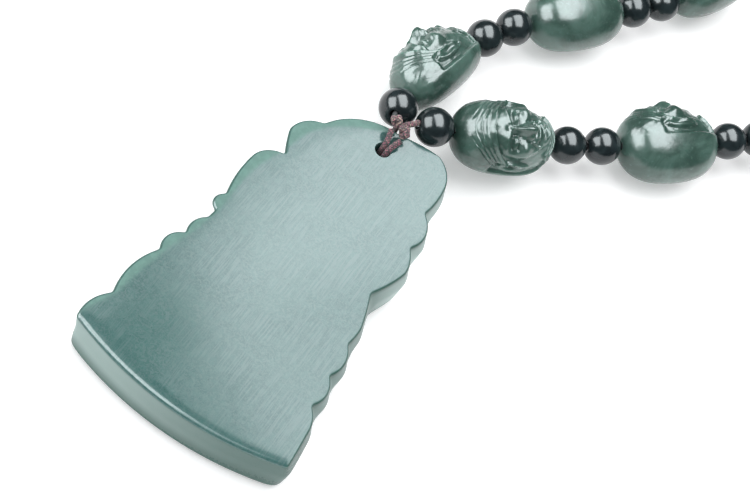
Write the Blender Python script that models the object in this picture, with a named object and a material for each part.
"""A carved jade pendant on its bead necklace, lying carved side down on a table.

The pendant is one slab of jade with a polished flat back, a scalloped outline, a carved front and one
drilled hole. A braided cord goes twice through the hole and over the top edge into a knot. The black
string of the necklace starts and ends in that knot, and carries eighteen beads carved as heads with
two round spacer beads between each pair of them.

All sizes are in millimetres, and a mesh is scaled to metres when it is made. While it is being built
the hole's axis is at X = Y = 0, the table is at Z = 0, and +Y runs along the pendant from its base to
its hole. At the end everything moves so that the origin is the middle of the footprint.
"""

from math import asin, ceil, cos, hypot, pi, radians, sin, sqrt

import bmesh
import bpy
import numpy as np
from mathutils import Matrix, Vector

MM = 0.001

# The pendant's slab
THICKNESS = 7.8
RIM_ROUNDING = 0.55
RIM_CHAMFER = 0.16
OUTLINE_STEP = 1.6
RIM_SOFTNESS = 0.3
NOTCH_FILL = 1.7
FOOT_SOFTNESS = 0.8
WALL_LEAN = 0.8
UNDERCUT = 1.5
FLARE_BASE = 0.25
BELLY_HEIGHT = 4.9
HOLE_RADIUS = 1.2
HOLE_OVERSHOOT = 1.0

# The carving on the underside, as heights above the table. The row of lobes starts this far inside
# the foot of the wall, and the spine is the line in the middle that the carving runs up to.
WALL_FOOT = 1.1
EDGE_WIDTH = 0.9
GROOVE_HEIGHT = 2.2
LOBE_HEIGHT = 1.1
LOBE_SWELL = 0.9
SPINE_TOP = -9.0
SPINE_BOTTOM = -38.0

# Between these two places along the pendant the underside rises to leave room for the bail.
TOP_CLEARANCE = 2.4
CLEARANCE_START = -7.0
CLEARANCE_END = -3.5

# The necklace
HEADS = 18
HEAD_LENGTH = 17.3
HEAD_FACE = 6.1
HEAD_FULLNESS = 2.8
HEAD_BORE_RADIUS = 0.8
BEAD_RADIUS = 2.975
BEAD_BORE_RADIUS = 0.75
BEAD_GAP = 0.25
STRING_RADIUS = 0.4
STRING_HEIGHT = 5.6
KNOT_TO_FIRST_BEAD = 0.25
LAST_BEAD_TO_KNOT = 1.1

# The bail
BAIL_RADIUS = 0.42

# The silhouette, anticlockwise from the base's left corner: where each arc ends, and how far it
# swells beyond the straight line from the end of the arc before it. True marks the end of a lobe.
SILHOUETTE_START = (-17.35, -50.65)
SILHOUETTE = (
    ((16.0, -49.6), 2.85, True),
    ((15.5, -44.0), 0.05, False),
    ((13.75, -40.3), 0.45, True),
    ((13.3, -35.1), 1.05, True),
    ((12.8, -29.5), 1.0, True),
    ((13.0, -26.2), 0.12, False),
    ((11.15, -20.8), 0.1, True),
    ((13.4, -14.6), 0.25, False),
    ((11.75, -10.7), 0.35, True),
    ((10.5, -4.4), 1.4, True),
    ((10.7, 0.9), 0.25, False),
    ((7.2, 5.5), 0.85, False),
    ((0.6, 4.3), 0.25, True),
    ((-9.05, -2.3), 1.75, True),
    ((-12.35, -6.7), 0.9, False),
    ((-10.5, -10.9), 0.1, True),
    ((-13.9, -14.6), 0.95, False),
    ((-13.15, -22.1), 0.35, True),
    ((-12.75, -25.2), 1.1, True),
    ((-12.9, -26.8), 0.05, True),
    ((-13.8, -30.9), 0.8, True),
    ((-15.0, -35.3), 1.1, True),
    ((-15.9, -44.7), 1.05, True),
    ((-17.35, -50.65), 0.85, True),
)

# The route of the string, from the knot round the necklace and back to it.
LYING = STRING_HEIGHT
ROUTE = (
    (1.3, 6.7, 9.1),
    (4.1, 8.5, 8.5),
    (12.8, 16.3, 6.4),
    (21.7, 23.9, LYING),
    (26.1, 28.1, LYING),
    (34.6, 36.6, LYING),
    (45.9, 49.1, LYING),
    (61.0, 66.0, LYING),
    (80.0, 88.0, LYING),
    (98.0, 112.0, LYING),
    (112.0, 138.0, LYING),
    (120.0, 166.0, LYING),
    (122.0, 195.5, LYING),
    (115.0, 216.0, LYING),
    (102.0, 228.0, LYING),
    (86.0, 231.0, LYING),
    (70.5, 224.3, LYING),
    (60.0, 210.3, LYING),
    (53.0, 188.0, LYING),
    (48.0, 161.0, LYING),
    (42.0, 135.0, LYING),
    (35.0, 109.0, LYING),
    (29.0, 81.4, LYING),
    (21.0, 61.2, LYING),
    (11.2, 47.6, LYING),
    (2.8, 34.8, LYING),
    (-1.8, 20.0, 5.8),
    (-2.4, 9.0, 6.4),
    (-1.75, 4.95, 9.3),
)

# Half of each head's width, and how far its back is from its bore. Four of them are wider or
# deeper than the rest, or shallower.
HEAD_SIZES = {number: (5.35, 5.0) for number in range(1, HEADS + 1)}
HEAD_SIZES |= {1: (5.7, 5.2), 2: (5.4, 6.4), 17: (5.35, 5.6), 18: (5.35, 4.0)}

# How far each head has rolled round the string: 0 looks up, 90 looks to the left as one walks away
# from the knot.
HEAD_ROLLS = (-18, 82, 30, -60, 5, 70, -35, 88, 15, -80, 50, -10, 75, -50, 25, 84, 110, 74)

# The two legs of the bail: up through the hole, over the back, and from the knot's far side down
# round the top edge and along the underside.
BAIL_LEGS = {
    "bail_cord_left": (
        (-0.82, 2.95, 9.05),
        (-0.6, 2.2, 8.85),
        (-0.4, 1.5, 8.6),
        (-0.27, 0.95, 8.3),
        (-0.22, 0.6, 7.8),
        (-0.22, 0.55, 6.8),
        (-0.22, 0.55, 4.6),
        (-0.24, 0.55, 2.7),
        (-0.32, 0.9, 1.8),
        (-0.42, 1.7, 1.45),
        (-0.5, 3.0, 1.45),
        (-0.5, 4.3, 1.95),
        (-0.5, 5.0, 3.1),
        (-0.5, 5.1, 5.0),
        (-0.55, 5.05, 7.0),
        (-0.65, 4.75, 8.5),
    ),
    "bail_cord_right": (
        (1.25, 2.3, 8.95),
        (1.0, 1.6, 8.7),
        (0.8, 0.95, 8.4),
        (0.66, 0.4, 8.0),
        (0.62, 0.1, 7.3),
        (0.62, 0.08, 6.0),
        (0.62, 0.08, 4.0),
        (0.62, 0.1, 2.6),
        (0.6, 0.5, 1.75),
        (0.56, 1.5, 1.45),
        (0.5, 3.1, 1.45),
        (0.55, 4.5, 1.95),
        (0.6, 5.2, 3.1),
        (0.65, 5.3, 5.0),
        (0.7, 5.25, 7.0),
        (0.8, 4.95, 8.6),
    ),
}

# The knot's three lumps: centre, half-sizes, and the compass direction of the long half-size.
KNOT_LUMPS = (
    ((-0.87, 4.17, 9.8), (1.05, 0.9, 0.95), 140.0),
    ((0.9, 3.5, 9.6), (1.15, 0.9, 0.95), 115.0),
    ((0.7, 5.0, 9.6), (1.35, 0.5, 0.55), 74.0),
)


def clear_scene():
    """Remove whatever the file opened with."""
    for thing in list(bpy.data.objects):
        bpy.data.objects.remove(thing, do_unlink=True)


def material(name, colour, roughness):
    """A non-metallic finish."""
    made = bpy.data.materials.new(name)
    made.use_nodes = True
    shader = made.node_tree.nodes["Principled BSDF"]
    shader.inputs["Base Color"].default_value = (*colour, 1.0)
    shader.inputs["Roughness"].default_value = roughness
    shader.inputs["Metallic"].default_value = 0.0
    return made


def add_object(name, data, finish):
    """Link new data to the scene under a name. Data that several objects share gets its material
    once."""
    made = bpy.data.objects.new(name, data)
    if not data.materials:
        data.materials.append(finish)
    bpy.context.collection.objects.link(made)
    return made


def skin(name, rings, wrap):
    """A mesh over a row of rings with equal counts of points. With wrap, the last ring joins the
    first, as in a bead with a bore. Otherwise the first and last rings are closed by flat faces."""
    count = len(rings[0])
    points = [tuple(MM * value for value in point) for ring in rings for point in ring]
    faces = []
    for ring in range(len(rings) if wrap else len(rings) - 1):
        here, there = ring * count, (ring + 1) % len(rings) * count
        for k in range(count):
            after = (k + 1) % count
            faces.append((here + k, here + after, there + after, there + k))
    if not wrap:
        faces.append(tuple(range(count))[::-1])
        faces.append(tuple(range(len(points) - count, len(points))))
    mesh = bpy.data.meshes.new(name)
    mesh.from_pydata(points, [], faces)
    facing_out(mesh)
    return mesh


def facing_out(mesh):
    """Turn every face outwards and shade the round parts smooth."""
    shape = bmesh.new()
    shape.from_mesh(mesh)
    bmesh.ops.recalc_face_normals(shape, faces=shape.faces)
    shape.to_mesh(mesh)
    shape.free()
    mesh.shade_smooth()
    mesh.set_sharp_from_angle(angle=radians(40))


def smooth_line(points, steps=60):
    """A Catmull-Rom curve through the points, as a dense array of places."""
    given = np.array(points, float)
    ends = [2 * given[0] - given[1]], [2 * given[-1] - given[-2]]
    given = np.concatenate([ends[0], given, ends[1]])
    t = np.linspace(0.0, 1.0, steps, endpoint=False)[:, None]
    pieces = []
    for a, b, c, d in zip(given, given[1:], given[2:], given[3:]):
        cubic = (3 * b - a - 3 * c + d) * t**3
        pieces.append(0.5 * (2 * b + (c - a) * t + (2 * a - 5 * b + 4 * c - d) * t**2 + cubic))
    return np.concatenate([*pieces, given[-2:-1]])


def length_along(line):
    """The distance from the line's start to each of its places."""
    return np.concatenate([[0.0], np.cumsum(np.linalg.norm(np.diff(line, axis=0), axis=1))])


def place_on(line, distances):
    """The places at these distances along a line."""
    along = length_along(line)
    return np.stack([np.interp(distances, along, line[:, axis]) for axis in range(3)], axis=-1)


def arc(start, end, swell, step):
    """Places along a circular arc from start up to, but not including, end. Swell is the arc's
    height over its chord, to the right of the way it runs."""
    chord = hypot(end[0] - start[0], end[1] - start[1])
    radius = (chord**2 / 4 + swell**2) / (2 * swell)
    half_angle = asin(min(1.0, chord / (2 * radius)))
    if swell > chord / 2:
        half_angle = pi - half_angle
    count = max(2, ceil(2 * radius * half_angle / step))
    along = Vector((end[0] - start[0], end[1] - start[1])) / chord
    outward = Vector((along.y, -along.x))
    middle = (Vector(start) + Vector(end)) / 2 + outward * (swell - radius)
    places = []
    for k in range(count):
        angle = -half_angle + 2 * half_angle * k / count
        places.append(middle + outward * radius * cos(angle) + along * radius * sin(angle))
    return places


def softened(places, softness, step):
    """A closed outline with its corners softened by a weighted average along it."""
    reach = int(3 * softness / step)
    weights = np.exp(-0.5 * (np.arange(-reach, reach + 1) * step / softness) ** 2)
    weights /= weights.sum()
    return sum(w * np.roll(places, reach - k, axis=0) for k, w in enumerate(weights))


def outward_of(places, reach):
    """Unit directions out of a closed anticlockwise outline, in the table's plane."""
    ahead = np.roll(places, -reach, axis=0) - np.roll(places, reach, axis=0)
    outward = np.stack([ahead[:, 1], -ahead[:, 0]], axis=1)
    return outward / np.linalg.norm(outward, axis=1, keepdims=True)


def silhouette(step):
    """The pendant's outline at three heights: its sharply notched rim, the belly below, where the
    +X side's notches are filled and both sides lean to +X, and the foot of the wall. With them come
    the rim's outward directions, and how far each place is through its lobe, from 0 to 1."""
    fine = 0.1
    start, places, kept, lobe, phases = SILHOUETTE_START, [], [], [], []
    for end, swell, ends_lobe in SILHOUETTE:
        run = arc(start, end, swell, fine)
        shares = max(2, round(len(run) * fine / step))
        kept += [len(places) + round(len(run) * k / shares) for k in range(shares)]
        places += [(place.x, place.y) for place in run]
        lobe += run
        if ends_lobe:
            phases += [k / len(lobe) for k in range(len(lobe))]
            lobe = []
        start = end
    rim = softened(np.array(places), RIM_SOFTNESS, fine)
    filled = softened(np.array(places), NOTCH_FILL, fine)
    broad = outward_of(filled, 10)
    fill = np.maximum(0.0, np.sum((filled - rim) * broad, axis=1)) * ease(broad[:, 0], -0.7, 0.1)
    belly = rim + broad * (fill + FLARE_BASE * np.maximum(0, -broad[:, 1]))[:, None]
    undercut = UNDERCUT * (0.5 + 0.5 * ease(rim[:, 1], -49.0, -45.0))
    belly[:, 0] += np.where(broad[:, 0] > 0, WALL_LEAN, undercut) * broad[:, 0] ** 2
    belly = softened(belly, FOOT_SOFTNESS / 2, fine)
    foot = softened(belly, FOOT_SOFTNESS, fine)
    return rim[kept], belly[kept], foot[kept], outward_of(rim, 3)[kept], np.array(phases)[kept]


def ease(value, low, high):
    """0 below low, 1 above high, and a smooth step between."""
    t = np.clip((value - low) / (high - low), 0.0, 1.0)
    return t * t * (3 - 2 * t)


def carved_height(across, phase, y):
    """How far the carved underside is from the table. Across is 0 at the edge and 1 at the spine.
    A row of rounded cloud lobes follows the edge, then a groove, then the raised middle field that
    the pendant rests on. Near the hole it is cut back to leave room for the bail."""
    lobes = LOBE_HEIGHT - LOBE_SWELL * np.sqrt(np.sin(pi * np.clip(phase, 0.0, 1.0)))
    collar = WALL_FOOT + (lobes - WALL_FOOT) * ease(across, 0.0, 0.18)
    groove = GROOVE_HEIGHT * ease(across, 0.2, 0.36) * (1 - ease(across, 0.36, 0.52))
    height = collar * (1 - ease(across, 0.3, 0.5)) + groove
    top = ease(y, CLEARANCE_START, CLEARANCE_END)
    return height * (1 - top) + np.maximum(height, TOP_CLEARANCE) * top


def pendant_mesh():
    """The slab: its flat back, rounded rim, wall and carved underside, as rings."""
    rim, belly, foot, outward, phase = silhouette(OUTLINE_STEP)
    top = ease(rim[:, 1], CLEARANCE_START, CLEARANCE_END)
    foot_height = WALL_FOOT + (TOP_CLEARANCE + 0.3 - WALL_FOOT) * top
    under_rim = THICKNESS - RIM_ROUNDING
    shoulder = 0.6
    edge = foot - outward * EDGE_WIDTH
    spine = np.column_stack([0.0 * edge[:, 0], np.clip(edge[:, 1], SPINE_BOTTOM, SPINE_TOP)])
    places = [
        (rim - outward * RIM_ROUNDING, THICKNESS),
        (rim - outward * RIM_CHAMFER, THICKNESS - RIM_CHAMFER),
        (rim, under_rim),
        (rim + (belly - rim) * shoulder, under_rim + (BELLY_HEIGHT - under_rim) * shoulder),
        (belly, BELLY_HEIGHT),
        (foot, foot_height),
    ]
    for across in (0.06, 0.2, 0.36, 0.52):
        xy = edge + (spine - edge) * across
        places.append((xy, carved_height(across, phase, xy[:, 1])))
    rings = [np.column_stack([xy, z * np.ones(len(xy))]) for xy, z in places]
    return skin("pendant", rings, wrap=False)


def drill(target, radius, low, high):
    """Cut a round hole down the Z axis."""
    mesh = bpy.data.meshes.new("drill")
    shape = bmesh.new()
    bmesh.ops.create_cone(
        shape, cap_ends=True, segments=20, radius1=radius * MM, radius2=radius * MM,
        depth=(high - low) * MM, matrix=Matrix.Translation((0, 0, MM * (low + high) / 2)),
    )
    shape.to_mesh(mesh)
    shape.free()
    cutter = bpy.data.objects.new("drill", mesh)
    bpy.context.collection.objects.link(cutter)
    cutter.hide_render = True
    cutter.display_type = "WIRE"
    cut = target.modifiers.new("hole", "BOOLEAN")
    cut.operation = "DIFFERENCE"
    cut.solver = "EXACT"
    cut.object = cutter
    return cutter


def bump(value, centre, width):
    """A rounded bump of height 1."""
    return np.exp(-(((value - centre) / width) ** 2))


def head_radius(u, turn, half_width, back):
    """The distance of a head's surface from its bore. U runs from -1 at the crown to 1 under the
    chin, and turn is the angle from the middle of the face, in degrees."""
    turn = abs(turn)
    depth = HEAD_FACE if turn < 90 else back
    around = 1 / sqrt((cos(radians(turn)) / depth) ** 2 + (sin(radians(turn)) / half_width) ** 2)
    body = around * sqrt(max(0.0, 1 - abs(u) ** HEAD_FULLNESS))
    brow = 0.45 * bump(u, -0.3, 0.12) * bump(turn, 0, 45)
    eye = -0.75 * bump(u, -0.1, 0.12) * bump(turn, 26, 14)
    nose = 0.9 * bump(u, 0.08, 0.18) * bump(turn, 0, 12)
    cheek = 0.4 * bump(u, 0.2, 0.14) * bump(turn, 42, 16)
    mouth = -0.45 * bump(u, 0.42, 0.09) * bump(turn, 0, 26)
    chin = 0.6 * bump(u, 0.7, 0.14) * bump(turn, 0, 26)
    ear = 0.25 * bump(u, 0.02, 0.28) * bump(turn, 88, 12)
    return max(HEAD_BORE_RADIUS, body + brow + eye + nose + cheek + mouth + chin + ear)


def head_mesh(half_width, back):
    """A head along +X from its crown to its chin, looking along +Z, with a bore down its middle."""
    rows = (-1.0, -0.88, -0.56, -0.3, -0.1, 0.12, 0.42, 0.72, 1.0)
    half = (0, 16, 34, 58, 88, 130)
    turns = half + (180,) + tuple(-turn for turn in half[:0:-1])
    rings = []
    for u in rows:
        ring = []
        for turn in turns:
            radius = HEAD_BORE_RADIUS if abs(u) == 1.0 else head_radius(u, turn, half_width, back)
            angle = radians(turn)
            ring.append((u * HEAD_LENGTH / 2, -radius * sin(angle), radius * cos(angle)))
        rings.append(ring)
    return skin("head", rings, wrap=True)


def bead_mesh():
    """A round bead along X with a bore."""
    sides, bands = 8, 4
    first = asin(BEAD_BORE_RADIUS / BEAD_RADIUS)
    rings = []
    for band in range(bands + 1):
        angle = first + (pi - 2 * first) * band / bands
        across, along = BEAD_RADIUS * sin(angle), -BEAD_RADIUS * cos(angle)
        turns = [2 * pi * k / sides for k in range(sides)]
        rings.append([(along, across * cos(turn), across * sin(turn)) for turn in turns])
    return skin("bead", rings, wrap=True)


def strand():
    """The beads on the string: their kinds, their two ends, and the gaps' places. What the route is
    longer than the beads need is play, half way round the necklace."""
    line = smooth_line(ROUTE)
    kinds = ["spacer"] + (["head", "spacer", "spacer"] * HEADS)[:-1]
    lengths = [HEAD_LENGTH if kind == "head" else 2 * BEAD_RADIUS for kind in kinds]
    ends = KNOT_TO_FIRST_BEAD + LAST_BEAD_TO_KNOT
    play = length_along(line)[-1] - sum(lengths) - BEAD_GAP * (len(kinds) - 1) - ends
    loose = len(kinds) // 2
    starts, reached = [], KNOT_TO_FIRST_BEAD
    for k, length in enumerate(lengths):
        reached += play if k == loose else 0.0
        starts.append(reached)
        reached += length + BEAD_GAP
    starts = np.array(starts)
    finishes = starts + lengths
    gaps = np.concatenate([[0.0], (finishes[:-1] + starts[1:]) / 2, [length_along(line)[-1]]])
    return kinds, place_on(line, starts), place_on(line, finishes), place_on(line, gaps)


def set_on_string(thing, start, finish, roll):
    """Put a bead between two places of the string, with its crown at the start and its face turned
    from straight up by roll degrees to the left."""
    along = Vector(finish - start).normalized()
    left = Vector((0, 0, 1)).cross(along).normalized()
    up = along.cross(left)
    face = up * cos(radians(roll)) + left * sin(radians(roll))
    side = face.cross(along)
    thing.location = Vector((start + finish) / 2) * MM
    thing.rotation_euler = Matrix((along, side, face)).transposed().to_euler()


def cord(name, points, radius, finish):
    """A round cord through points, as a curve with filled ends."""
    data = bpy.data.curves.new(name, "CURVE")
    data.dimensions = "3D"
    data.bevel_depth = radius * MM
    data.bevel_resolution = 2
    data.use_fill_caps = True
    run = data.splines.new("POLY")
    run.points.add(len(points) - 1)
    for target, place in zip(run.points, points):
        target.co = (*(MM * float(value) for value in place), 1.0)
    return add_object(name, data, finish)


def lump(name, centre, halves, compass):
    """One rounded lump of the knot."""
    mesh = bpy.data.meshes.new(name)
    shape = bmesh.new()
    turn = Matrix.Rotation(radians(compass), 4, "Z")
    size = Matrix.Diagonal((*(MM * half for half in halves), 1.0))
    place = Matrix.Translation(Vector(centre) * MM)
    bmesh.ops.create_uvsphere(
        shape, u_segments=10, v_segments=6, radius=1.0, matrix=place @ turn @ size
    )
    shape.to_mesh(mesh)
    shape.free()
    facing_out(mesh)
    return mesh


def make_knot(finish):
    """Two wraps of the braided cord and the end that leads to the first bead, joined into one."""
    first, *others = KNOT_LUMPS
    knot = add_object("knot", lump("knot", *first), finish)
    made = [knot]
    for number, shape in enumerate(others):
        helper = add_object(f"knot_lump_{number}", lump("knot_lump", *shape), finish)
        helper.hide_render = True
        helper.display_type = "WIRE"
        join = knot.modifiers.new(helper.name, "BOOLEAN")
        join.operation = "UNION"
        join.solver = "EXACT"
        join.object = helper
        made.append(helper)
    return made


def make_necklace(jade, black, string):
    """The beads on their string."""
    kinds, starts, finishes, gaps = strand()
    spacer = bead_mesh()
    made = [cord("necklace_string", gaps, STRING_RADIUS, string)]
    counts = {"head": 0, "spacer": 0}
    for kind, start, finish in zip(kinds, starts, finishes):
        counts[kind] += 1
        number = counts[kind]
        name = f"{kind}_bead_{number:02d}"
        if kind == "head":
            bead = add_object(name, head_mesh(*HEAD_SIZES[number]), jade)
        else:
            bead = add_object(name, spacer, black)
        roll = HEAD_ROLLS[number - 1] if kind == "head" else 0
        if kind == "head" and number > HEADS // 2:
            set_on_string(bead, finish, start, roll)
        else:
            set_on_string(bead, start, finish, roll)
        made.append(bead)
    return made


def centre_footprint(things):
    """Hang everything on an empty, which moves the origin to the middle of the footprint."""
    bpy.context.view_layer.update()
    seen = bpy.context.evaluated_depsgraph_get()
    places = []
    for thing in things:
        if not thing.hide_render:
            shown = thing.evaluated_get(seen)
            mesh = shown.to_mesh()
            places += [shown.matrix_world @ vertex.co for vertex in mesh.vertices]
            shown.to_mesh_clear()
    places = np.array(places)
    low, high = places.min(axis=0), places.max(axis=0)
    stand = bpy.data.objects.new("necklace_and_pendant", None)
    bpy.context.collection.objects.link(stand)
    stand.location = (-(low[0] + high[0]) / 2, -(low[1] + high[1]) / 2, -low[2])
    for thing in things:
        thing.parent = stand


def build():
    """Make every piece and set the origin."""
    clear_scene()
    jade = material("pale_jade", (0.27, 0.42, 0.38), 0.3)
    dark_jade = material("dark_jade", (0.06, 0.15, 0.12), 0.15)
    black = material("black_agate", (0.012, 0.016, 0.018), 0.08)
    braid = material("pink_brown_braid", (0.35, 0.17, 0.17), 0.85)
    string = material("black_string", (0.02, 0.02, 0.02), 0.8)
    pendant = add_object("pendant", pendant_mesh(), jade)
    things = [pendant, drill(pendant, HOLE_RADIUS, -HOLE_OVERSHOOT, THICKNESS + HOLE_OVERSHOOT)]
    things += [cord(name, points, BAIL_RADIUS, braid) for name, points in BAIL_LEGS.items()]
    things += make_knot(braid)
    things += make_necklace(dark_jade, black, string)
    centre_footprint(things)


build()
